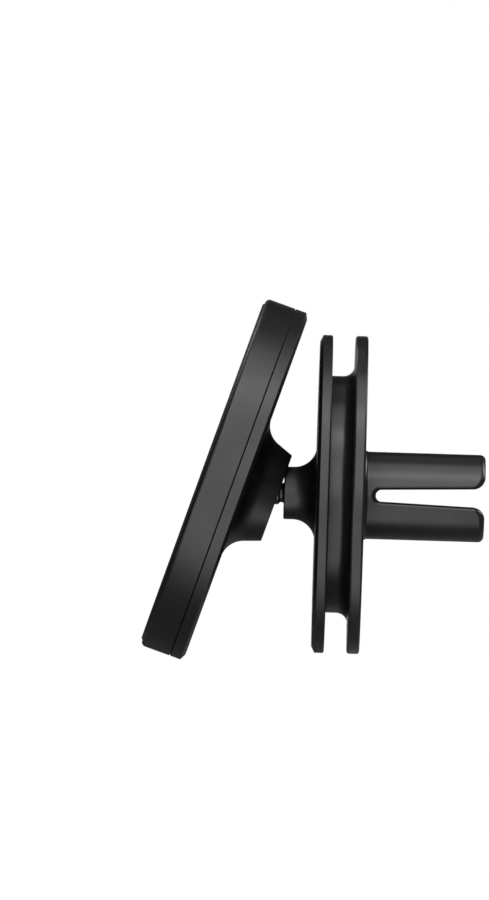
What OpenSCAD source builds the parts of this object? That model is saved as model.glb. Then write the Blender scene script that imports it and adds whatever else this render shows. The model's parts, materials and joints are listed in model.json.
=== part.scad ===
// Magnetic car phone mount for an air vent: a round magnetic head on a ball
// joint, carried by a cable spool with a two-pronged rubber vent fork.
//
// Frame: +X runs along the clip's axis from the spool into the vent, +Z is up.
// The origin is the centre of the spool's rear face, which rests on the vent.
// Each outline below is a list of [radius, place along the axis, corner radius].

/* [Head] */
// Outer radius of the magnetic head
head_r = 29; // [28.5:0.1:29.5]
// Height of the head from the pad's face to its rear face
head_h = 7.41; // [7.3:0.01:7.8]
// Height of the front shell's edge above the pad's face, where the seam lies
seam_h = 5.06; // [5:0.01:5.3]
// How far the soft pad stands proud of the front shell
pad_proud = 0.25; // [0.2:0.01:0.6]
// Number of magnets in the ring
magnet_count = 16; // [12:1:24]

/* [Boss and ball] */
// Height of the conical boss behind the head
boss_h = 5.06; // [4.9:0.01:5.6]
// Radius of the boss at its rear rim
boss_rim_r = 7.14; // [7:0.01:7.6]
// Half angle of the boss's cone
boss_angle = 20; // [15:1:25]
// Radius of the ball
ball_r = 3; // [2.9:0.05:3.05]
// Depth of the ball's centre inside the boss's rear rim
ball_depth = 2.86; // [2.8:0.01:2.95]
// Length of the stud from the ball's centre to the collar
neck_l = 3.84; // [3.8:0.01:4.2]
// Tilt of the head at rest, about Y
rest_tilt = 18.25; // [-20:0.25:20]

/* [Clip] */
// Radius of both spool flanges
flange_r = 25; // [24:0.5:28]
// Thickness of each spool flange
flange_t = 2; // [2:0.1:2.4]
// Width of the cable groove between the flanges
groove_w = 3.55; // [3.4:0.05:4]
// Radius of the spool's core at the bottom of the groove
core_r = 18.62; // [18.4:0.02:20]
// Radius of the collar that holds the ball stud
collar_r = 4.13; // [4:0.01:4.2]
// Height of the collar in front of the spool
collar_h = 5; // [4.9:0.1:6]

/* [Fork] */
// Outer radius of the fork's two prongs
fork_r = 6.87; // [6.6:0.01:7.4]
// Length of the prongs behind the spool
fork_l = 19; // [17:0.5:24]
// Half width of the slot between the prongs at its closed end
slot_half = 0.94; // [0.8:0.01:1.4]
// Half angle at which the slot opens towards the tips
slot_angle = 1.9; // [1:0.1:2.2]

/* [Hidden] */
$fn = 96;
arc_step = 9; // Largest angle between two points of a rounded corner
eps = 0.01; // Overlap for cuts that break through a face
fit = 0.05; // Radial clearance of a shaft that turns in its bore
hole_gap = 0.1; // Clearance round a piece that sits still in its hole
gap = 0.02; // Axial clearance between faces that slide on each other

// Head, measured along its own axis from the pad's face
pad_r = 28.1;
pad_t = 1;
pad_edge_r = 0.3;
adhesive_t = 0.15;
adhesive_inset = 0.6;
floor_h = 1.85;
shell_wall = 1.8;
shell_edge_r = 0.55;
seam_w = 0.2;
seam_d = 0.26;
lip_h = 0.6;
rear_wall = 1.4;
chamfer_l = 0.5;
chamfer_d = 1.02;
magnet_in_r = 23;
magnet_out_r = 26.8;
magnet_t = 2;
magnet_gap = 0.35;
yoke_t = 0.5;
tray_r = 19.4;
post_r = 2.2;
post_pitch_r = 16.4;
lip_w = 1.4;
rim_edge_r = 0.2;

// Screws: all have the same shank, and the places where their heads bear
screw_r = 0.8;
pilot_extra = 0.1; // How much deeper than its screw a pilot hole goes
shell_screw_count = 4;
shell_screw_start = 45;
shell_screw_h = floor_h - 0.25;
shell_screw_l = 3.3;
shell_head_r = 1.6;
shell_head_h = 0.42;
retainer_screw_count = 3;
retainer_pitch_r = 7.9;
retainer_screw_l = 3.9;
retainer_head_r = 1.5;
retainer_head_h = 0.9;
clip_screw_count = 3;
clip_screw_start = 60;
clip_screw_pitch_r = 12;
clip_screw_l = 4;
clip_head_r = 1.9;
clip_head_h = 0.8;

// Boss and ball joint
ball_h = head_h + boss_h - ball_depth;
boss_fillet_r = 3.7;
boss_foot_r = boss_rim_r + boss_h * tan(boss_angle);
recess_r = 5.6;
recess_d = 0.9;
recess_root_r = 0.3;
recess_bevel = 0.25;
throat_r = 3.6;
socket_r = ball_r + 0.04;
lip_angle = 24;
liner_r = 5.15;
bore_r = liner_r + fit;
seat_top = 1.29;
seat_low = -0.6;
cup_top = -0.75;
cup_low = -3.9;
spring_h = 0.72;
spring_t = 0.22;
spring_in_r = 1.7;
spring_out_r = 4.8;
hub_r = 10.5;
hub_low = ball_h + cup_low - spring_h - gap;
retainer_t = 1;

// Clip, measured along X
groove_x = -flange_t;
front_back_x = groove_x - groove_w;
front_x = front_back_x - flange_t;
collar_x = front_x - collar_h;
collar_fillet_r = 3.5;
core_fillet_r = 1.8;
front_chamfer_l = 0.5;
front_chamfer_d = 1;
ball_x = collar_x - neck_l;
front_edge_r = 0.3;
shank_r = 1.5;
shank_gap = 0.4; // Between the end of the shank and the bottom of its insert
neck_r = 1.85;
neck_edge_r = 0.1;
neck_groove_r = 1.5;
neck_groove_from = 0.58; // Start and end of the neck's groove, before the collar
neck_groove_to = 0.25;
neck_flare = 0.15;
insert_r = 2.6;
insert_x = -1.7;
plate_post_r = 2.2;
plate_post_x = -3.1;
skin_t = 0.55;
clip_screw_x = -skin_t - 1;
core_skin_t = 1.4;
web_skin_t = 0.5;
rim_skin_t = 1.6;
finger_skin_t = 1.2;
flange_edge_r = 0.45;
stop_edge_r = 0.4;
slot_end_x = 1.85;
end_share = 0.98; // Of the slot's half width, the radius in each corner of its closed end
mouth_r = 1.9;
lead_min_r = 0.2;
tip_r = 0.9;
root_r = 0.7;

// ---------- Outlines and placing ----------

function unit(v) = v / norm(v);
function flat(p) = [p[0], p[1]];

// Points of the arc that rounds corner q, between its neighbours p and s.
function corner_arc(p, q, s, r) =
  let (
    u = unit(p - q),
    v = unit(s - q),
    half = acos(u * v) / 2,
    start = q + u * r / tan(half),
    centre = q + unit(u + v) * r / sin(half),
    turn = 180 - 2 * half,
    side = u[0] * v[1] - u[1] * v[0] > 0 ? -1 : 1,
    from = atan2(start[1] - centre[1], start[0] - centre[0]),
    steps = max(2, ceil(turn / arc_step))
  )
  [for (i = [0:steps])
    let (a = from + side * turn * i / steps)
    centre + r * [cos(a), sin(a)]];

// An outline with the corners that name a radius rounded.
function rounded(points) =
  let (n = len(points))
  [for (i = [0:n - 1])
    let (q = points[i])
    each len(q) < 3
      ? [flat(q)]
      : corner_arc(flat(points[(i + n - 1) % n]), flat(q), flat(points[(i + 1) % n]), q[2])];

// A solid of revolution about X from an outline of [radius, x] points.
module turned(points) {
  rotate([0, 90, 0]) rotate_extrude() polygon(rounded(points));
}

// A cylinder along X from x0 to x1.
module rod(r, x0, x1) {
  translate([x0, 0, 0]) rotate([0, 90, 0]) cylinder(r = r, h = x1 - x0);
}

// Copies spread evenly about X at a pitch radius.
module ring_of(count, pitch_r, start = 0) {
  for (i = [0:count - 1])
    rotate([start + i * 360 / count, 0, 0]) translate([0, 0, pitch_r]) children();
}

// The head's own axis, with its zero at the pad's face, tilted about the ball.
module on_head() {
  translate([ball_x, 0, 0]) rotate([0, rest_tilt, 0]) translate([-ball_h, 0, 0]) children();
}

// The same axis with its zero at the ball's centre.
module on_ball() {
  on_head() translate([ball_h, 0, 0]) children();
}

// A pan-head screw along +X, with the underside of its head at x = 0.
module screw(length, cap_r, cap_h) {
  slot_w = 0.35 * cap_r;
  slot_l = 1.3 * cap_r;
  rod(screw_r, -eps, length);
  difference() {
    turned([[0, -cap_h], [cap_r, -cap_h, 0.3 * cap_h], [cap_r, 0], [0, 0]]);
    for (a = [0, 90])
      rotate([a, 0, 0])
        translate([-cap_h - eps, -slot_w / 2, -slot_l / 2])
          cube([cap_h / 2, slot_w, slot_l]);
  }
}

// ---------- Head ----------

module front_pad() {
  color("#1a1a1b")
    on_head() turned([[0, 0], [pad_r, 0, pad_edge_r], [pad_r, pad_t], [0, pad_t]]);
}

module pad_adhesive() {
  film_r = pad_r - adhesive_inset;
  color("#8c8a80")
    on_head() rod(film_r, pad_t, pad_t + adhesive_t);
}

module shell_screw_places() {
  ring_of(shell_screw_count, post_pitch_r, shell_screw_start) children();
}

module retainer_screw_places() {
  ring_of(retainer_screw_count, retainer_pitch_r) children();
}

module front_shell() {
  pocket_r = pad_r + fit;
  pocket_h = pad_t + adhesive_t;
  color("#232324")
    on_head() difference() {
      turned([
        [0, pocket_h], [pocket_r, pocket_h], [pocket_r, pad_proud], [head_r, pad_proud, shell_edge_r],
        [head_r, seam_h], [head_r - shell_wall, seam_h], [head_r - shell_wall, floor_h], [0, floor_h]
      ]);
      shell_screw_places() {
        rod(screw_r + hole_gap, pocket_h - eps, floor_h + eps);
        rod(shell_head_r + hole_gap, pocket_h - eps, shell_screw_h);
      }
    }
}

module magnets() {
  pitch = 360 / magnet_count;
  sweep = pitch - magnet_gap / magnet_in_r * 180 / PI;
  color("#b9bcc0")
    on_head() for (i = [0:magnet_count - 1])
      rotate([i * pitch, 0, 0]) rotate([0, 90, 0]) translate([0, 0, floor_h])
        rotate_extrude(angle = sweep)
          translate([magnet_in_r, 0]) square([magnet_out_r - magnet_in_r, magnet_t]);
}

module steel_yoke() {
  low = floor_h + magnet_t;
  color("#9a9da1")
    on_head() turned([
      [magnet_in_r, low], [magnet_out_r, low], [magnet_out_r, low + yoke_t], [magnet_in_r, low + yoke_t]
    ]);
}

module magnet_tray() {
  color("#3a3b3d")
    on_head() turned([
      [tray_r, floor_h], [magnet_in_r - hole_gap, floor_h],
      [magnet_in_r - hole_gap, floor_h + magnet_t + yoke_t], [tray_r, floor_h + magnet_t + yoke_t]
    ]);
}

module rear_cover() {
  wall_in_r = head_r - shell_wall - hole_gap;
  inner_h = head_h - rear_wall;
  rim_h = head_h + boss_h;
  color("#232324")
    on_head() difference() {
      union() {
        turned([
          [0, hub_low], [hub_r, hub_low], [hub_r, inner_h], [wall_in_r - lip_w, inner_h],
          [wall_in_r - lip_w, seam_h - lip_h], [wall_in_r, seam_h - lip_h], [wall_in_r, seam_h],
          [head_r - seam_d, seam_h], [head_r - seam_d, seam_h + seam_w], [head_r, seam_h + seam_w],
          [head_r, head_h - chamfer_l], [head_r - chamfer_d, head_h],
          [boss_foot_r, head_h, boss_fillet_r], [boss_rim_r, rim_h, rim_edge_r], [0, rim_h]
        ]);
        shell_screw_places() rod(post_r, floor_h, inner_h + eps);
      }
      rod(bore_r, hub_low - eps, ball_h + seat_top + gap);
      rod(throat_r, hub_low, rim_h);
      turned([
        [0, rim_h - recess_d], [recess_r, rim_h - recess_d, recess_root_r],
        [recess_r, rim_h - recess_bevel], [recess_r + recess_bevel, rim_h],
        [recess_r + recess_bevel, rim_h + eps], [0, rim_h + eps]
      ]);
      shell_screw_places() rod(screw_r, floor_h - eps, shell_screw_h + shell_screw_l + pilot_extra);
      retainer_screw_places()
        rod(screw_r, hub_low - eps, hub_low - retainer_t + retainer_screw_l + pilot_extra);
    }
}

module retainer_plate() {
  low = hub_low - retainer_t;
  color("#a8a9ab")
    on_head() difference() {
      turned([[0, low], [hub_r, low, rim_edge_r], [hub_r, hub_low], [0, hub_low]]);
      retainer_screw_places() rod(screw_r + hole_gap, low - eps, hub_low + eps);
    }
}

module retainer_screws() {
  color("#77797c")
    on_head() retainer_screw_places()
      translate([hub_low - retainer_t, 0, 0])
        screw(retainer_screw_l, retainer_head_r, retainer_head_h);
}

module shell_screws() {
  color("#77797c")
    on_head() shell_screw_places()
      translate([shell_screw_h, 0, 0]) screw(shell_screw_l, shell_head_r, shell_head_h);
}

// ---------- Ball joint ----------

module socket_seat() {
  lip_r = socket_r * cos(lip_angle);
  color("#d8d6ce")
    on_ball() difference() {
      rod(liner_r, seat_low, seat_top);
      sphere(r = socket_r);
      rod(socket_r, seat_low - eps, 0);
      turned([
        [0, 0], [lip_r, socket_r * sin(lip_angle)], [lip_r + hole_gap, seat_top + eps], [0, seat_top + eps]
      ]);
    }
}

module pressure_cup() {
  color("#d8d6ce")
    on_ball() difference() {
      rod(liner_r, cup_low, cup_top);
      sphere(r = socket_r);
    }
}

// Two coned disc springs, set edge to edge.
module disc_springs() {
  half_h = spring_h / 2;
  rise = half_h - spring_t;
  color("#b4b6b9")
    on_ball() translate([cup_low - spring_h, 0, 0]) {
      turned([
        [spring_in_r, 0], [spring_out_r, rise], [spring_out_r, half_h - gap / 2], [spring_in_r, spring_t]
      ]);
      turned([
        [spring_in_r, spring_h - spring_t], [spring_out_r, half_h + gap / 2],
        [spring_out_r, spring_h - rise], [spring_in_r, spring_h]
      ]);
    }
}

module ball_stud() {
  ball_cut = sqrt(ball_r * ball_r - neck_r * neck_r);
  ball_cut_x = ball_cut - 2 * neck_edge_r;
  face = neck_l - gap;
  groove_from = face - neck_groove_from;
  groove_to = face - neck_groove_to;
  color("#2a2a2b")
    translate([ball_x, 0, 0]) {
      sphere(r = ball_r);
      turned([
        [0, ball_cut_x], [neck_r, ball_cut_x], [neck_r, groove_from - neck_groove_to, neck_edge_r],
        [neck_groove_r, groove_from, neck_flare], [neck_groove_r, groove_to, 2 * neck_flare],
        [neck_groove_r + neck_flare, face], [0, face]
      ]);
      rod(shank_r, groove_to, insert_x - ball_x - shank_gap);
    }
}

// ---------- Clip ----------

module clip_screw_places() {
  ring_of(clip_screw_count, clip_screw_pitch_r, clip_screw_start) children();
}

module front_plate() {
  color("#232324")
    difference() {
      union() {
        turned([
          [0, collar_x], [collar_r, collar_x, rim_edge_r], [collar_r, front_x, collar_fillet_r],
          [flange_r - front_chamfer_d, front_x], [flange_r, front_x + front_chamfer_l],
          [flange_r, front_back_x, front_edge_r], [0, front_back_x]
        ]);
        clip_screw_places() rod(plate_post_r, front_back_x - eps, plate_post_x);
      }
      rod(shank_r + fit, collar_x - eps, front_back_x + eps);
      clip_screw_places() rod(screw_r, clip_screw_x - clip_screw_l - pilot_extra, plate_post_x + eps);
    }
}

module thread_insert() {
  color("#b08a3e")
    difference() {
      rod(insert_r, front_back_x, insert_x);
      rod(shank_r + fit, front_back_x - eps, insert_x + eps);
    }
}

// The slot between the prongs, as an outline in X and half width, cut right through along Y.
// It can be drawn larger all round, which is what the fingers inside the rubber need.
module slot_cut(grow = 0) {
  tip_half = slot_half + (fork_l - slot_end_x) * tan(slot_angle) + grow;
  root_half = slot_half + grow;
  end_r = end_share * root_half;
  far = 2 * fork_r;
  lead_r = max(lead_min_r, mouth_r - grow);
  rotate([90, 0, 0]) linear_extrude(height = 2 * far, center = true)
    polygon(rounded([
      [slot_end_x - grow, -root_half, end_r], [fork_l - grow, -tip_half, lead_r],
      [fork_l - grow, -far], [fork_l + far, -far], [fork_l + far, far], [fork_l - grow, far],
      [fork_l - grow, tip_half, lead_r], [slot_end_x - grow, root_half, end_r]
    ]));
}

// The rigid hub and the two fingers inside the prongs, before its holes.
module skeleton_body() {
  hub_out_r = core_r - core_skin_t;
  web_r = flange_r - rim_skin_t;
  web_x = groove_x + web_skin_t;
  difference() {
    union() {
      turned([
        [0, front_back_x], [hub_out_r, front_back_x], [hub_out_r, web_x],
        [web_r, web_x], [web_r, -skin_t], [0, -skin_t]
      ]);
      rod(fork_r - finger_skin_t, -skin_t - eps, fork_l);
    }
    slot_cut(finger_skin_t);
  }
}

module clip_skeleton() {
  color("#4a4b4d")
    difference() {
      skeleton_body();
      rod(insert_r, front_back_x - eps, insert_x);
      clip_screw_places() {
        rod(plate_post_r + hole_gap, front_back_x - eps, plate_post_x + hole_gap);
        rod(screw_r + hole_gap, front_back_x, 0);
        rod(clip_head_r + hole_gap, clip_screw_x, 0);
      }
    }
}

module clip_sleeve() {
  color("#262627")
    difference() {
      turned([
        [0, front_back_x], [core_r, front_back_x], [core_r, groove_x, core_fillet_r],
        [flange_r, groove_x, flange_edge_r], [flange_r, 0, stop_edge_r], [fork_r, 0, root_r],
        [fork_r, fork_l, tip_r], [0, fork_l]
      ]);
      slot_cut();
      skeleton_body();
      clip_screw_places() rod(clip_head_r + hole_gap, -skin_t - eps, eps);
    }
}

module clip_screws() {
  color("#77797c")
    clip_screw_places()
      translate([clip_screw_x, 0, 0]) mirror([1, 0, 0]) screw(clip_screw_l, clip_head_r, clip_head_h);
}

front_pad();
pad_adhesive();
front_shell();
magnets();
steel_yoke();
magnet_tray();
rear_cover();
retainer_plate();
retainer_screws();
shell_screws();
socket_seat();
pressure_cup();
disc_springs();
ball_stud();
front_plate();
thread_insert();
clip_skeleton();
clip_sleeve();
clip_screws();
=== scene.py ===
"""Looks of a magnetic car phone mount: turned shells, a ball stud and a rubber vent fork.

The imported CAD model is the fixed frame. Each visible piece is rebuilt here as a fine mesh in the
same place. An outline is a list of (radius, place along the axis, corner radius) in millimetres,
turned about the piece's axis. A corner that gives no radius stays sharp.
"""

import json
import math

import bmesh
import bpy
from mathutils import Matrix, Vector

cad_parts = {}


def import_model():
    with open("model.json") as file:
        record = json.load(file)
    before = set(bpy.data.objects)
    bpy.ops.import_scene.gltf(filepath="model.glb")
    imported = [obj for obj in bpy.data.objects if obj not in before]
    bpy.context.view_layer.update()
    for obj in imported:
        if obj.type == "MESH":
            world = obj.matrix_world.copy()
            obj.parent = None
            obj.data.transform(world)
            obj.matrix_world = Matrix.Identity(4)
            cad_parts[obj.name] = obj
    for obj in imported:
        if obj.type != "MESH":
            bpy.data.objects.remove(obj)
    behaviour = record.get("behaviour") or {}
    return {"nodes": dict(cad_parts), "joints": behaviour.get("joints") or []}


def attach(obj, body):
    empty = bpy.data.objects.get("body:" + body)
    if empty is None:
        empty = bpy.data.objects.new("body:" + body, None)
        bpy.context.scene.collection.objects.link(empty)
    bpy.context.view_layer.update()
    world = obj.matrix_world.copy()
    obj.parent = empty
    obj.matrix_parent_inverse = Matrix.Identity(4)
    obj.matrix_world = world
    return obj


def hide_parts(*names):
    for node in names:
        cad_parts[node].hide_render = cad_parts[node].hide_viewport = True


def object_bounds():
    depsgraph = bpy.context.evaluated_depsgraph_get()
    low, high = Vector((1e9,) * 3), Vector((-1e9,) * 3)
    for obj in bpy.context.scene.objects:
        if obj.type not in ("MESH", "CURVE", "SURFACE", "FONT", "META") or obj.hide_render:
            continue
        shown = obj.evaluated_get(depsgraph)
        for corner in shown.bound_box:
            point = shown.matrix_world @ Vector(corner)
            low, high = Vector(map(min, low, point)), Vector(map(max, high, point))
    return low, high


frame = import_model()
cad_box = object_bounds()
joints = {joint["name"]: joint for joint in frame["joints"]}

MM = 0.001
TURN_STEPS = 256            # flat steps round each turned piece
ARC_STEP = 6                # largest angle in degrees between two points of a rounded corner
EDGE_R = 0.06               # the smallest rounding that a moulded edge keeps
SHARP_ANGLE = 24            # degrees above which an edge is shown sharp
SUPPORT = 0.12              # distance of a support ring from the end of a flat stretch
LONG_FLAT = 6 * SUPPORT     # a flat stretch longer than this gets support rings
ON_AXIS = 1e-6              # a point with a smaller radius lies on the axis
WELD = 2e-4                 # vertices closer than this become one

# Head, along its own axis from the pad's face
HEAD_R = 29.0
HEAD_H = 7.41
SEAM_H = 5.06
SEAM_W = 0.2
SEAM_D = 0.26
SEAM_EDGE_R = 0.03
PAD_R = 28.1
PAD_T = 1.0
PAD_PROUD = 0.25
PAD_EDGE_R = 0.3
POCKET_R = 28.15
POCKET_H = 1.15
SHELL_FLOOR_H = 1.85
SHELL_WALL_R = 27.2
SHELL_EDGE_R = 0.75
LIP_OUT_R = 27.1
LIP_IN_R = 25.7
LIP_LOW = 4.46
REAR_INNER_H = 6.01
REAR_CHAMFER_L = 0.5
REAR_CHAMFER_D = 1.02

# Boss and ball joint, along the same axis
RIM_H = 12.47
RIM_R = 7.14
RIM_EDGE_R = 0.2
BOSS_ANGLE = 20
BOSS_FILLET_R = 3.7
RECESS_R = 5.6
RECESS_D = 0.9
RECESS_CHAMFER = 0.25
RECESS_CORNER_R = 0.3
THROAT_R = 3.6
LINER_R = 5.15
BORE_R = 5.2
HUB_R = 10.5
HUB_LOW = 4.97
BALL_H = 9.61
BALL_R = 3.0
SOCKET_R = 3.04
SEAT_LOW = -0.6
SEAT_TOP = 1.29
SEAT_LIP_W = 0.08
LIP_ANGLE = 24
SLIDE_GAP = 0.02

# Stud, from the ball's centre. The neck's groove is placed by its distance from the collar.
NECK_L = 3.84
NECK_R = 1.85
NECK_EDGE_R = 0.12
NECK_GROOVE_R = 1.5
NECK_GROOVE_EDGE = 0.83
NECK_GROOVE_FLOOR = 0.58
NECK_GROOVE_FOOT = 0.25
NECK_GROOVE_CORNER_R = 0.14
NECK_FLARE = 0.15
NECK_FLARE_R = 0.3
SHANK_R = 1.5
SHANK_END = 14.29
SHANK_EDGE_R = 0.2

# Clip, along X from the spool's rear face
FLANGE_R = 25.0
REAR_EDGE_R = 0.4
GROOVE_X = -2.0
GROOVE_EDGE_R = 0.45
FRONT_BACK_X = -5.55
FRONT_BACK_EDGE_R = 0.3
FRONT_X = -7.55
COLLAR_X = -12.55
COLLAR_R = 4.13
COLLAR_EDGE_R = 0.2
COLLAR_FILLET_R = 3.5
FRONT_CHAMFER_L = 0.5
FRONT_CHAMFER_D = 1.0
STUD_BORE_R = 1.55
CORE_R = 18.62
CORE_FILLET_R = 1.8
SCREW_PITCH_R = 12.0
SCREW_HOLE_R = 2.0
SCREW_HOLE_CHAMFER = 0.2
SCREW_ANGLES = (60, 180, 300)
SCREW_HOLE_FLOOR = -1.55
CUT_ABOVE = 0.02            # how far a screw hole's chamfer runs past the face
CUT_TOP = 1.0               # how far the cutter itself stands above it
INSERT_R = 2.6
INSERT_X = -1.7

# Fork: two half-round prongs with a slot between them that is open along Y
FORK_R = 6.87
FORK_L = 19.0
ROOT_R = 0.7
FORK_FROM_X = 0.9           # where the plain root ends and the slotted part starts
SLOT_END_X = 1.85
SLOT_HALF = 0.94
SLOT_ANGLE = 1.9
MOUTH_R = 1.9
TIP_R = 0.9
SLOT_EDGE_R = 0.45          # along the walls
SLOT_END_EDGE_R = 0.8       # round the closed end
END_BLEND = 1.5             # how fast the one rounding becomes the other
WALL_STRETCH = 1.4          # how far the rounding of a thin edge reaches down the wall
WALL_SHARES = (0, 0.25, 0.5, 0.75, 0.97)    # points on half the wall, from its middle to its edge

# Camera
VIEW_MM_HIGH = 141.5        # height of the picture at the object
VIEW_CENTRE = (-18.95, 6.53)    # X and Z that the camera looks at
CAMERA_DISTANCE = 2.5
CAMERA_ROLL = math.radians(1.74)

# Floor in metres. To glossy rays it shows painted shade, a dark grey, apart from a painted
# reflection: a glowing patch in front and a weak one behind.
FLOOR_SIZE = 1.6
FLOOR_DROP = 0.06
FLOOR_GREY = 0.82
FLOOR_SEEN = (0.6, 0.95)    # glow for the camera in the middle and at the rim
FLOOR_GLOW = 0.97           # painted reflection: glow for glossy rays where a painted patch is at full strength
PAINTED_GLOW_BACK = (-0.035, -0.01)     # Y over which the front painted glow patch fades out
PAINTED_GLOW_SLANT = 0.9            # how much earlier it fades for each metre to the left
PAINTED_GLOW_RIGHT = (0.02, 0.04)   # X over which it fades out
REAR_PAINTED_GLOW_Y = (0.02, 0.12)  # Y over which the rear painted glow patch fades in
REAR_PAINTED_GLOW_X = (-0.03, 0.0)  # X over which it does
REAR_PAINTED_GLOW_SHARE = 0.15      # its painted light against the front patch's
PAINTED_SHADE_GREY = 0.16           # painted shade: the floor's grey to glossy rays beside the painted glow patches

# World
BEHIND_ANGLE = math.radians(14) # reflections see white within this angle of straight behind
AMBIENT = 0.025


# ---------- Outlines ----------

def corner_arc(before, corner, after, radius):
    """The points that round a corner between its two neighbours."""
    u = (before - corner).normalized()
    v = (after - corner).normalized()
    half = u.angle(v) / 2
    reach = radius / math.tan(half)
    start = corner + u * reach
    centre = corner + (u + v).normalized() * (radius / math.sin(half))
    turn_by = math.pi - 2 * half
    side = -1 if u.x * v.y - u.y * v.x > 0 else 1
    first = math.atan2(start.y - centre.y, start.x - centre.x)
    steps = max(3, math.ceil(math.degrees(turn_by) / ARC_STEP))
    angles = [first + side * turn_by * i / steps for i in range(steps + 1)]
    return [centre + radius * Vector((math.cos(a), math.sin(a))) for a in angles]


def rounded(outline):
    """The outline with each corner rounded by its own radius, where it gives one."""
    corners = [Vector(point[:2]) for point in outline]
    points = []
    for i, point in enumerate(outline):
        if len(point) < 3:
            points.append(corners[i])
            continue
        after = corners[(i + 1) % len(corners)]
        points += corner_arc(corners[i - 1], corners[i], after, point[2])
    return points


def supported(points, closed=True):
    """Adds a point close to each end of a long flat stretch, so that its shading stays flat."""
    out = []
    for i, here in enumerate(points if closed else points[:-1]):
        after = points[(i + 1) % len(points)]
        out.append(here)
        length = (after - here).length
        if length > LONG_FLAT:
            out.append(here.lerp(after, SUPPORT / length))
            out.append(here.lerp(after, 1 - SUPPORT / length))
    return out if closed else out + [points[-1]]


# ---------- Meshes ----------

def finished(name, bm):
    """A smooth-shaded object in metres from a bmesh in millimetres."""
    bmesh.ops.recalc_face_normals(bm, faces=bm.faces)
    mesh = bpy.data.meshes.new(name)
    bm.to_mesh(mesh)
    bm.free()
    mesh.transform(Matrix.Scale(MM, 4))
    for polygon in mesh.polygons:
        polygon.use_smooth = True
    mesh.set_sharp_from_angle(angle=math.radians(SHARP_ANGLE))
    piece = bpy.data.objects.new(name, mesh)
    bpy.context.scene.collection.objects.link(piece)
    return piece


def turn(bm, outline, place=Matrix.Identity(4), closed=True):
    """Adds the outline, turned about the X axis and then put in place.

    An open outline isn't joined end to start.
    """
    rings = []
    for radius, x in supported(rounded(outline), closed):
        if radius < ON_AXIS:
            rings.append([bm.verts.new(place @ Vector((x, 0, 0)))] * TURN_STEPS)
            continue
        ring = []
        for k in range(TURN_STEPS):
            angle = 2 * math.pi * k / TURN_STEPS
            point = Vector((x, radius * math.cos(angle), radius * math.sin(angle)))
            ring.append(bm.verts.new(place @ point))
        rings.append(ring)
    for i, ring in enumerate(rings if closed else rings[:-1]):
        after = rings[(i + 1) % len(rings)]
        for k in range(TURN_STEPS):
            j = (k + 1) % TURN_STEPS
            corners = list(dict.fromkeys((ring[k], ring[j], after[j], after[k])))
            if len(corners) > 2:
                bm.faces.new(corners)


def turned(name, outline, place=Matrix.Identity(4)):
    bm = bmesh.new()
    turn(bm, outline, place)
    return finished(name, bm)


def cut_away(bm, cutter):
    """Takes a closed bmesh away from another and returns the result."""
    objects = []
    for part in (bm, cutter):
        bmesh.ops.recalc_face_normals(part, faces=part.faces)
        mesh = bpy.data.meshes.new("cut")
        part.to_mesh(mesh)
        part.free()
        obj = bpy.data.objects.new("cut", mesh)
        bpy.context.scene.collection.objects.link(obj)
        objects.append(obj)
    body, tool = objects
    boolean = body.modifiers.new("cut", "BOOLEAN")
    boolean.operation = "DIFFERENCE"
    boolean.solver = "EXACT"
    boolean.object = tool
    result = bmesh.new()
    result.from_object(body, bpy.context.evaluated_depsgraph_get())
    for obj in objects:
        bpy.data.objects.remove(obj)
    return result


def stand_for(piece, node, body):
    """Puts a piece in the place of a CAD node, on its body, and hides the node."""
    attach(piece, body)
    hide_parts(node)


# ---------- Where the head is ----------

ball = Vector(joints["head_tilt"]["pos_m"]) / MM
head_axis = Vector(joints["head_spin"]["axis"])
head_tilt = math.atan2(-head_axis.z, head_axis.x)
on_ball = Matrix.Translation(ball) @ Matrix.Rotation(head_tilt, 4, "Y")
on_head = on_ball @ Matrix.Translation((-BALL_H, 0, 0))


# ---------- Head, socket and stud ----------

def front_pad():
    return turned("front_pad_skin", [
        (0, 0), (PAD_R, 0, PAD_EDGE_R), (PAD_R, PAD_T, EDGE_R), (0, PAD_T)
    ], on_head)


def front_shell():
    return turned("front_shell_body", [
        (0, POCKET_H), (POCKET_R, POCKET_H), (POCKET_R, PAD_PROUD, EDGE_R),
        (HEAD_R, PAD_PROUD, SHELL_EDGE_R), (HEAD_R, SEAM_H, SEAM_EDGE_R),
        (SHELL_WALL_R, SEAM_H), (SHELL_WALL_R, SHELL_FLOOR_H), (0, SHELL_FLOOR_H)
    ], on_head)


def rear_cover():
    foot_r = RIM_R + (RIM_H - HEAD_H) * math.tan(math.radians(BOSS_ANGLE))
    seat_h = BALL_H + SEAT_TOP + SLIDE_GAP
    recess_h = RIM_H - RECESS_D
    return turned("rear_cover_body", [
        (BORE_R, HUB_LOW), (HUB_R, HUB_LOW), (HUB_R, REAR_INNER_H), (LIP_IN_R, REAR_INNER_H),
        (LIP_IN_R, LIP_LOW), (LIP_OUT_R, LIP_LOW), (LIP_OUT_R, SEAM_H),
        (HEAD_R - SEAM_D, SEAM_H), (HEAD_R, SEAM_H + SEAM_W, SEAM_EDGE_R),
        (HEAD_R, HEAD_H - REAR_CHAMFER_L, EDGE_R), (HEAD_R - REAR_CHAMFER_D, HEAD_H, EDGE_R),
        (foot_r, HEAD_H, BOSS_FILLET_R), (RIM_R, RIM_H, RIM_EDGE_R),
        (RECESS_R + RECESS_CHAMFER, RIM_H, EDGE_R), (RECESS_R, RIM_H - RECESS_CHAMFER, EDGE_R),
        (RECESS_R, recess_h, RECESS_CORNER_R), (THROAT_R, recess_h, EDGE_R),
        (THROAT_R, seat_h), (BORE_R, seat_h)
    ], on_head)


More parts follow.
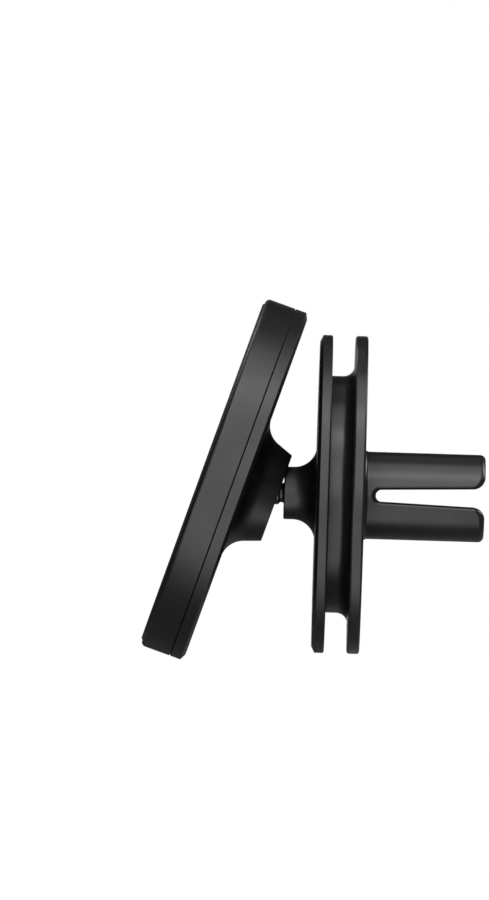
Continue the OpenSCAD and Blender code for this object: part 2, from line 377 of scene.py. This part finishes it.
def socket_seat():
    lip = math.radians(LIP_ANGLE)
    steps = 8
    cup = [
        (SOCKET_R * math.cos(lip * i / steps), SOCKET_R * math.sin(lip * i / steps))
        for i in range(steps, -1, -1)
    ]
    return turned("socket_seat_ring", [
        (SOCKET_R, SEAT_LOW), (LINER_R, SEAT_LOW), (LINER_R, SEAT_TOP),
        (SOCKET_R * math.cos(lip) + SEAT_LIP_W, SEAT_TOP)
    ] + cup, on_ball)


def ball_stud():
    cut = math.asin(NECK_R / BALL_R)
    steps = 24
    ball_arc = [
        (BALL_R * math.sin(a), BALL_R * math.cos(a))
        for a in (math.pi - (math.pi - cut) * i / steps for i in range(steps + 1))
    ]
    face = NECK_L - SLIDE_GAP
    neck = [
        (NECK_R, face - NECK_GROOVE_EDGE, NECK_EDGE_R),
        (NECK_GROOVE_R, face - NECK_GROOVE_FLOOR, NECK_GROOVE_CORNER_R),
        (NECK_GROOVE_R, face - NECK_GROOVE_FOOT, NECK_FLARE_R),
        (NECK_GROOVE_R + NECK_FLARE, face), (SHANK_R, face)
    ]
    shank = [(SHANK_R, SHANK_END, SHANK_EDGE_R), (0, SHANK_END)]
    outline = [(0, -BALL_R)] + ball_arc[1:] + neck + shank
    return turned("ball_stud_body", outline, Matrix.Translation(ball))


# ---------- Clip ----------

def front_plate():
    return turned("front_plate_body", [
        (STUD_BORE_R, COLLAR_X), (COLLAR_R, COLLAR_X, COLLAR_EDGE_R),
        (COLLAR_R, FRONT_X, COLLAR_FILLET_R), (FLANGE_R - FRONT_CHAMFER_D, FRONT_X, EDGE_R),
        (FLANGE_R, FRONT_X + FRONT_CHAMFER_L, EDGE_R),
        (FLANGE_R, FRONT_BACK_X, FRONT_BACK_EDGE_R), (STUD_BORE_R, FRONT_BACK_X)
    ])


def fork_edge():
    """Half the slotted fork's outline in the XZ plane, from the slot's closed end to the tip.

    Each entry is (point on the wall, direction into the rubber, radius of the rounded edge,
    place on the far border). The far border is the circle at FORK_FROM_X and then the fork's
    top line, as (x, angle up from the XY plane).
    """
    slope = math.radians(SLOT_ANGLE)
    along = Vector((math.cos(slope), math.sin(slope)))
    wall_into = Vector((-math.sin(slope), math.cos(slope)))
    end_centre = Vector((SLOT_END_X + SLOT_HALF, 0))
    wall_from = end_centre + wall_into * SLOT_HALF
    top_angle = math.pi / 2
    quarter_turn = top_angle - slope
    entries = []

    # Closed end: the border runs up the circle and then a little way along the top line
    circle_steps = TURN_STEPS // 4
    top_steps = 14
    for i in range(circle_steps + top_steps):
        angle = quarter_turn * i / (circle_steps + top_steps)
        into = Vector((-math.cos(angle), math.sin(angle)))
        radius = SLOT_EDGE_R + (SLOT_END_EDGE_R - SLOT_EDGE_R) * math.cos(angle) ** END_BLEND
        past = max(0, i - circle_steps) / top_steps
        border_x = FORK_FROM_X + past * (wall_from.x - FORK_FROM_X)
        border = (border_x, top_angle * min(1, i / circle_steps))
        entries.append((end_centre + into * SLOT_HALF, into, radius, border))

    # Straight wall
    mouth_x = FORK_L - MOUTH_R
    wall_l = (mouth_x + MOUTH_R * math.sin(slope) - wall_from.x) / math.cos(slope)
    wall_steps = 30
    for i in range(wall_steps):
        point = wall_from + along * (wall_l * i / wall_steps)
        entries.append((point, wall_into, SLOT_EDGE_R, (point.x, top_angle)))

    # Rounded mouth
    mouth_from = wall_from + along * wall_l
    mouth_centre = mouth_from + wall_into * MOUTH_R
    last_x = FORK_L - TIP_R
    mouth_steps = 30
    tip_steps = 24
    for i in range(mouth_steps):
        angle = slope + quarter_turn * i / mouth_steps
        into = Vector((-math.sin(angle), math.cos(angle)))
        share = i / (mouth_steps + tip_steps)
        radius = SLOT_EDGE_R + (TIP_R - SLOT_EDGE_R) * math.sin(top_angle * i / mouth_steps) ** 2
        border = (mouth_from.x + (last_x - mouth_from.x) * share, top_angle)
        entries.append((mouth_centre - into * MOUTH_R, into, radius, border))

    # Flat tip
    tip_from = mouth_centre + Vector((MOUTH_R, 0))
    tip_to = FORK_R - TIP_R
    for i in range(tip_steps + 1):
        share = (mouth_steps + i) / (mouth_steps + tip_steps)
        height = tip_from.y + (tip_to - tip_from.y) * math.sin(top_angle * i / tip_steps)
        border = (mouth_from.x + (last_x - mouth_from.x) * share, top_angle)
        entries.append((Vector((FORK_L, height)), Vector((-1, 0)), TIP_R, border))
    return entries


def fork_row(point, into, radius, border):
    """The points from the middle of the wall, round the edge and over the outside to the border."""
    centre_x = point.x + into.x * radius
    centre_z = point.y + into.y * radius
    inner_r = FORK_R - radius
    centre_y = math.sqrt(max(0.0, inner_r ** 2 - centre_z ** 2))
    centre = Vector((centre_x, centre_y, centre_z))
    to_wall = Vector((-into.x, 0, -into.y))
    outward = Vector((0, centre_y, centre_z)) / inner_r
    stretch = min(centre_y, WALL_STRETCH * (TIP_R - radius))
    wall = [Vector((point.x, (centre_y - stretch) * t, point.y)) for t in WALL_SHARES]

    spread = to_wall.angle(outward)
    across = (outward - to_wall * math.cos(spread)) / math.sin(spread)
    edge_steps = 12
    edge = []
    for i in range(edge_steps + 1):
        a = spread * i / edge_steps
        deeper = Vector((0, stretch * (1 - i / edge_steps) ** 2, 0))
        edge.append(centre + radius * (to_wall * math.cos(a) + across * math.sin(a)) - deeper)

    first_x = edge[-1].x
    first_angle = math.asin(min(1.0, edge[-1].z / FORK_R))
    border_x, border_angle = border
    skin_steps = 26
    skin = []
    for i in range(1, skin_steps + 1):
        t = i / skin_steps
        x = first_x + (border_x - first_x) * t
        angle = first_angle + (border_angle - first_angle) * t
        skin.append(Vector((x, FORK_R * math.cos(angle), FORK_R * math.sin(angle))))
    return wall + edge + skin


def slotted_fork(bm):
    """Adds the part of the fork that the slot cuts, as four mirrored quarters."""
    rows = [fork_row(*entry) for entry in fork_edge()]
    for y_side in (-1, 1):
        for z_side in (-1, 1):
            grid = [
                [bm.verts.new((p.x, y_side * p.y, z_side * p.z)) for p in row] for row in rows
            ]
            for row, after in zip(grid, grid[1:]):
                for k in range(len(row) - 1):
                    bm.faces.new((row[k], row[k + 1], after[k + 1], after[k]))


def clip_sleeve():
    bm = bmesh.new()
    turn(bm, [
        (0, INSERT_X), (INSERT_R, INSERT_X), (INSERT_R, FRONT_BACK_X),
        (CORE_R, FRONT_BACK_X, EDGE_R), (CORE_R, GROOVE_X, CORE_FILLET_R),
        (FLANGE_R, GROOVE_X, GROOVE_EDGE_R), (FLANGE_R, 0, REAR_EDGE_R),
        (FORK_R, 0, ROOT_R), (FORK_R, FORK_FROM_X)
    ], closed=False)
    slotted_fork(bm)
    bmesh.ops.remove_doubles(bm, verts=bm.verts, dist=WELD)
    holes = bmesh.new()
    hole_top_r = SCREW_HOLE_R + SCREW_HOLE_CHAMFER
    for angle in SCREW_ANGLES:
        about_x = Matrix.Rotation(math.radians(angle), 4, "X")
        turn(holes, [
            (0, SCREW_HOLE_FLOOR), (SCREW_HOLE_R, SCREW_HOLE_FLOOR),
            (SCREW_HOLE_R, CUT_ABOVE - SCREW_HOLE_CHAMFER), (hole_top_r, CUT_ABOVE),
            (hole_top_r, CUT_TOP), (0, CUT_TOP)
        ], about_x @ Matrix.Translation((0, 0, SCREW_PITCH_R)))
    return finished("clip_sleeve_body", cut_away(bm, holes))


# ---------- Node trees ----------

class Nodes:
    """A short way to write a node tree."""

    def __init__(self, tree):
        self.tree = tree

    def add(self, kind, **inputs):
        """A new node, with values for its inputs by name. In a name, _ stands for a space."""
        node = self.tree.nodes.new("ShaderNode" + kind)
        for key, value in inputs.items():
            node.inputs[key.replace("_", " ")].default_value = value
        return node

    def link(self, output, socket):
        self.tree.links.new(output, socket)

    def spread(self, value, low, high, low_in=0.3, high_in=0.7):
        """Maps low_in to high_in, which is a texture's middle range, onto low to high."""
        node = self.add("MapRange", From_Min=low_in, From_Max=high_in, To_Min=low, To_Max=high)
        self.link(value, node.inputs["Value"])
        return node.outputs["Result"]

    def math(self, operation, a, b):
        node = self.add("Math")
        node.operation = operation
        for socket, value in zip(node.inputs, (a, b)):
            if isinstance(value, (int, float)):
                socket.default_value = value
            else:
                self.link(value, socket)
        return node.outputs["Value"]

    def parts(self, vector):
        """The X and Y of a vector."""
        node = self.add("SeparateXYZ")
        self.link(vector, node.inputs["Vector"])
        return node.outputs["X"], node.outputs["Y"]

    def mixed(self, factor, first, second):
        """A shader between two others."""
        node = self.add("MixShader")
        self.link(factor, node.inputs["Fac"])
        self.link(first, node.inputs[1])
        self.link(second, node.inputs[2])
        return node.outputs["Shader"]

    def background_rays(self):
        """1 for a ray from the camera, and 1 for a ray from a glossy or clear surface."""
        path = self.add("LightPath").outputs
        other = self.math("ADD", path["Is Glossy Ray"], path["Is Transmission Ray"])
        return path["Is Camera Ray"], other


class Surface(Nodes):
    """A new material round its Principled shader."""

    def __init__(self, name, color, roughness, **inputs):
        self.material = bpy.data.materials.new(name)
        self.material.use_nodes = True
        super().__init__(self.material.node_tree)
        self.shader = self.tree.nodes["Principled BSDF"]
        self.shader.inputs["Base Color"].default_value = (*color, 1)
        self.shader.inputs["Roughness"].default_value = roughness
        for key, value in inputs.items():
            self.shader.inputs[key.replace("_", " ")].default_value = value
        self.place = self.add("TexCoord").outputs["Object"]

    def noise(self, size_mm, detail, rough=0.55, stretch=None):
        """A noise whose features are about size_mm across."""
        node = self.add("TexNoise", Scale=1 / (size_mm * MM), Detail=detail, Roughness=rough)
        place = self.place
        if stretch:
            mapping = self.add("Mapping", Scale=stretch)
            self.link(self.place, mapping.inputs["Vector"])
            place = mapping.outputs["Vector"]
        self.link(place, node.inputs["Vector"])
        return node.outputs["Fac"]

    def tint(self, factor, low, high):
        """Colours the surface between two colours."""
        node = self.add("Mix")
        node.data_type = "RGBA"
        node.inputs["A"].default_value = (*low, 1)
        node.inputs["B"].default_value = (*high, 1)
        self.link(factor, node.inputs["Factor"])
        self.link(node.outputs["Result"], self.shader.inputs["Base Color"])

    def uneven_gloss(self, value, low, high):
        """Varies the roughness between low and high."""
        self.link(self.spread(value, low, high), self.shader.inputs["Roughness"])

    def edge_wear(self):
        """High on convex edges, broken up by a fine noise."""
        point = self.add("NewGeometry").outputs["Pointiness"]
        edge = self.spread(point, 0, 1, low_in=0.53, high_in=0.62)
        return self.math("MULTIPLY", edge, self.spread(self.noise(1.3, detail=5), 0.2, 1))

    def bump(self, height, depth_mm, strength):
        node = self.add("Bump", Strength=strength, Distance=depth_mm * MM)
        self.link(height, node.inputs["Height"])
        self.link(node.outputs["Normal"], self.shader.inputs["Normal"])


# ---------- Materials ----------

def grey(value):
    return (value, value, value)


def scaled(color, factor):
    return [min(1, c * factor) for c in color]


def satin_plastic(name, value=0.004, roughness=0.41):
    """Spark-eroded black plastic: a fine grain, faint clouding and slightly paler edges."""
    m = Surface(name, grey(value), roughness, Specular_IOR_Level=0.76)
    cloud = m.spread(m.noise(9, detail=2), 0, 0.6)
    speck = m.spread(m.noise(0.5, detail=1), 0, 0.4)
    factor = m.math("ADD", m.math("ADD", cloud, speck), m.edge_wear())
    m.tint(factor, grey(value * 0.86), grey(value * 1.22))
    m.uneven_gloss(m.noise(5, detail=4), roughness - 0.035, roughness + 0.035)
    grain = m.math("ADD", m.noise(0.4, detail=1), m.noise(0.9, detail=1))
    m.bump(grain, depth_mm=0.002, strength=0.5)
    return m.material


def soft_rubber(name, value, roughness):
    """Moulded rubber: a smooth dark skin, faintly clouded, with shallow moulding waves."""
    m = Surface(name, grey(value), roughness, Specular_IOR_Level=0.58)
    m.tint(m.spread(m.noise(6, detail=3), 0, 1), grey(value * 0.86), grey(value * 1.18))
    m.uneven_gloss(m.noise(4, detail=3), roughness - 0.03, roughness + 0.03)
    m.bump(m.noise(3, detail=1), depth_mm=0.004, strength=0.5)
    return m.material


def plain_plastic(name, color, roughness):
    """Moulded plastic inside the mount: a fine grain and faint flow clouding."""
    m = Surface(name, color, roughness)
    m.tint(m.spread(m.noise(4, detail=3), 0, 1), scaled(color, 0.9), scaled(color, 1.08))
    m.bump(m.noise(0.2, detail=3), depth_mm=0.01, strength=0.4)
    return m.material


def metal(name, color, roughness, stretch=None, metallic=1.0):
    """Metal with fine tool marks and an uneven polish."""
    m = Surface(name, color, roughness, Metallic=metallic)
    marks = m.noise(0.3, detail=4, rough=0.7, stretch=stretch)
    m.tint(m.spread(m.noise(1.2, detail=3), 0, 1), scaled(color, 0.88), scaled(color, 1.06))
    m.uneven_gloss(marks, roughness - 0.06, roughness + 0.08)
    m.bump(marks, depth_mm=0.006, strength=0.4)
    return m.material


def dress(obj, material):
    obj.data.materials.clear()
    obj.data.materials.append(material)


# Builder, CAD node, body, slot and material of each piece that stands for a CAD node
VISIBLE = [
    (front_pad, "front_pad", "head", "pad_silicone",
     soft_rubber("pad silicone", 0.014, 0.5)),
    (front_shell, "front_shell", "head", "shell_plastic",
     satin_plastic("shell plastic")),
    (rear_cover, "rear_cover", "head", "cover_plastic",
     satin_plastic("cover plastic")),
    (socket_seat, "socket_seat", "socket", "liner_plastic",
     plain_plastic("seat plastic", grey(0.05), 0.4)),
    (ball_stud, "ball_stud", "stud", "stud_metal",
     metal("black nickel", grey(0.1), 0.34, (1, 8, 8), 0.8)),
    (front_plate, "front_plate", "clip", "plate_plastic",
     satin_plastic("plate plastic")),
    (clip_sleeve, "clip_sleeve", "clip", "sleeve_rubber",
     soft_rubber("sleeve rubber", 0.013, 0.3)),
]
for build, node, body, slot, material in VISIBLE:
    piece = build()
    dress(piece, material)
    stand_for(piece, node, body)

# CAD nodes that keep their own mesh
INNER = {
    "pad_adhesive": plain_plastic("adhesive film", (0.55, 0.54, 0.5), 0.5),
    "magnets": metal("nickel plate", grey(0.68), 0.22),
    "steel_yoke": metal("rolled steel", grey(0.5), 0.4, (1, 1, 10)),
    "magnet_tray": plain_plastic("tray plastic", grey(0.09), 0.5),
    "retainer_plate": metal("stamped steel", grey(0.55), 0.38, (1, 10, 1)),
    "retainer_screws": metal("dark zinc", grey(0.3), 0.35),
    "shell_screws": metal("dark zinc screws", grey(0.3), 0.35),
    "clip_screws": metal("black oxide", grey(0.12), 0.36),
    "pressure_cup": plain_plastic("cup plastic", grey(0.05), 0.4),
    "disc_springs": metal("spring steel", grey(0.5), 0.3),
    "thread_insert": metal("brass", (0.72, 0.5, 0.2), 0.3),
    "clip_skeleton": plain_plastic("filled nylon", grey(0.07), 0.55),
}
for node, material in INNER.items():
    dress(frame["nodes"][node], material)


# ---------- Camera, floor and light ----------

def camera():
    data = bpy.data.cameras.new("camera")
    data.sensor_width = 36
    data.lens = data.sensor_width * CAMERA_DISTANCE / (VIEW_MM_HIGH * MM)
    data.clip_start = 0.05
    data.clip_end = 50
    right = Vector((math.cos(CAMERA_ROLL), 0, math.sin(CAMERA_ROLL)))
    up = Vector((-math.sin(CAMERA_ROLL), 0, math.cos(CAMERA_ROLL)))
    back = Vector((0, -1, 0))
    target = Vector((VIEW_CENTRE[0] * MM, 0, VIEW_CENTRE[1] * MM))
    turn_to = Matrix((right, up, back)).transposed().to_4x4()
    obj = bpy.data.objects.new("camera", data)
    obj.matrix_world = Matrix.Translation(target + back * CAMERA_DISTANCE) @ turn_to
    bpy.context.scene.collection.objects.link(obj)
    bpy.context.scene.camera = obj


def painted_glow_patches(m):
    """How brightly glossy rays see the floor's painted glow at each place, from 0 to 1."""
    x, y = m.parts(m.place)
    slanted = m.math("SUBTRACT", y, m.math("MULTIPLY", m.math("MINIMUM", x, 0), PAINTED_GLOW_SLANT))
    front = m.math("MULTIPLY", m.spread(slanted, 1, 0, *PAINTED_GLOW_BACK), m.spread(x, 1, 0, *PAINTED_GLOW_RIGHT))
    rear = m.math("MULTIPLY", m.spread(y, 0, 1, *REAR_PAINTED_GLOW_Y), m.spread(x, 0, 1, *REAR_PAINTED_GLOW_X))
    return m.math("MAXIMUM", front, m.math("MULTIPLY", rear, REAR_PAINTED_GLOW_SHARE))


def floor_material():
    """A pale floor that looks near white to the camera. To reflections it shows painted glowing
    patches and painted shade elsewhere.
    """
    m = Surface("floor", grey(FLOOR_GREY), roughness=0.9)
    m.tint(m.spread(m.noise(60, detail=2), 0, 1), grey(FLOOR_GREY - 0.01), grey(FLOOR_GREY + 0.01))
    camera_ray, glossy_ray = m.background_rays()
    painted_glow_mask = painted_glow_patches(m)

    to_rim = m.add("TexGradient")
    to_rim.gradient_type = "SPHERICAL"
    m.link(m.place, to_rim.inputs["Vector"])
    middle, rim = FLOOR_SEEN
    by_place = m.spread(to_rim.outputs["Fac"], rim, middle, low_in=0.2, high_in=0.8)
    seen = m.math("MULTIPLY", camera_ray, by_place)
    # Painted reflection: the floor glows for glossy rays inside the patches, though no lamp is
    # there.
    glow = m.math("MULTIPLY", m.math("MULTIPLY", glossy_ray, painted_glow_mask), FLOOR_GLOW)
    m.shader.inputs["Emission Color"].default_value = (1, 1, 1, 1)
    m.link(m.math("ADD", seen, glow), m.shader.inputs["Emission Strength"])

    # Painted shade: outside the patches, glossy rays see the floor as this dark grey.
    dark = m.add("BsdfDiffuse", Color=(*grey(PAINTED_SHADE_GREY), 1))
    painted_shade_share = m.math("MULTIPLY", glossy_ray, m.math("SUBTRACT", 1, painted_glow_mask))
    surface = m.mixed(painted_shade_share, m.shader.outputs["BSDF"], dark.outputs["BSDF"])
    m.link(surface, m.tree.nodes["Material Output"].inputs["Surface"])
    return m.material


def floor():
    half = FLOOR_SIZE / 2
    z = cad_box[0][2] - FLOOR_DROP
    corners = [(-half, -half, z), (half, -half, z), (half, half, z), (-half, half, z)]
    mesh = bpy.data.meshes.new("floor")
    mesh.from_pydata(corners, [], [(0, 1, 2, 3)])
    mesh.materials.append(floor_material())
    obj = bpy.data.objects.new("floor", mesh)
    bpy.context.scene.collection.objects.link(obj)


def world():
    """A faint even light. The camera sees white, and reflections do straight behind the object."""
    studio = bpy.data.worlds.new("studio")
    studio.use_nodes = True
    bpy.context.scene.world = studio
    w = Nodes(studio.node_tree)
    ambient = w.tree.nodes["Background"]
    ambient.inputs["Color"].default_value = (1, 1, 1, 1)
    ambient.inputs["Strength"].default_value = AMBIENT
    white = w.add("Background", Color=(1, 1, 1, 1), Strength=1.0)
    y = w.parts(w.add("TexCoord").outputs["Generated"])[1]
    behind = w.spread(y, 0, 1, math.cos(BEHIND_ANGLE), math.cos(BEHIND_ANGLE / 2))
    camera_ray, other_ray = w.background_rays()
    seen = w.math("ADD", camera_ray, w.math("MULTIPLY", other_ray, behind))
    sky = w.mixed(seen, ambient.outputs["Background"], white.outputs["Background"])
    w.link(sky, w.tree.nodes["World Output"].inputs["Surface"])


def softbox(name, place, size, glow, aim=(0, 0, 0)):
    """An area light at place in metres, turned to aim, whose surface has the radiance glow."""
    data = bpy.data.lights.new(name, "AREA")
    data.shape = "RECTANGLE"
    data.size, data.size_y = size
    data.energy = glow * math.pi * size[0] * size[1]
    obj = bpy.data.objects.new(name, data)
    obj.location = place
    obj.rotation_euler = (Vector(place) - Vector(aim)).to_track_quat("Z", "Y").to_euler()
    bpy.context.scene.collection.objects.link(obj)


camera()
floor()
world()
softbox("top", (0.05, -0.34, 0.8), size=(0.75, 0.8), glow=1.55, aim=(0.05, -0.34, 0))
softbox("key", (0.09, -0.42, 0.58), size=(0.6, 0.3), glow=2.0, aim=(0.05, 0, 0))
softbox("front", (0.02, -0.9, 0.36), size=(0.46, 0.85), glow=2.15, aim=(0.02, 0, 0.36))
softbox("fill", (-0.3, -1.2, 0.4), size=(1.7, 1.2), glow=0.25, aim=(-0.3, 0, 0.4))
softbox("back", (-0.15, 0.45, 0.8), size=(0.4, 0.5), glow=0.25, aim=(-0.15, 0.45, 0))
softbox("rim left", (-0.55, 0.65, 0.65), size=(0.4, 0.4), glow=2.5)
softbox("rim right", (0.75, 0.35, 0.5), size=(0.45, 0.45), glow=4)
bpy.context.scene.view_settings.view_transform = "Standard"
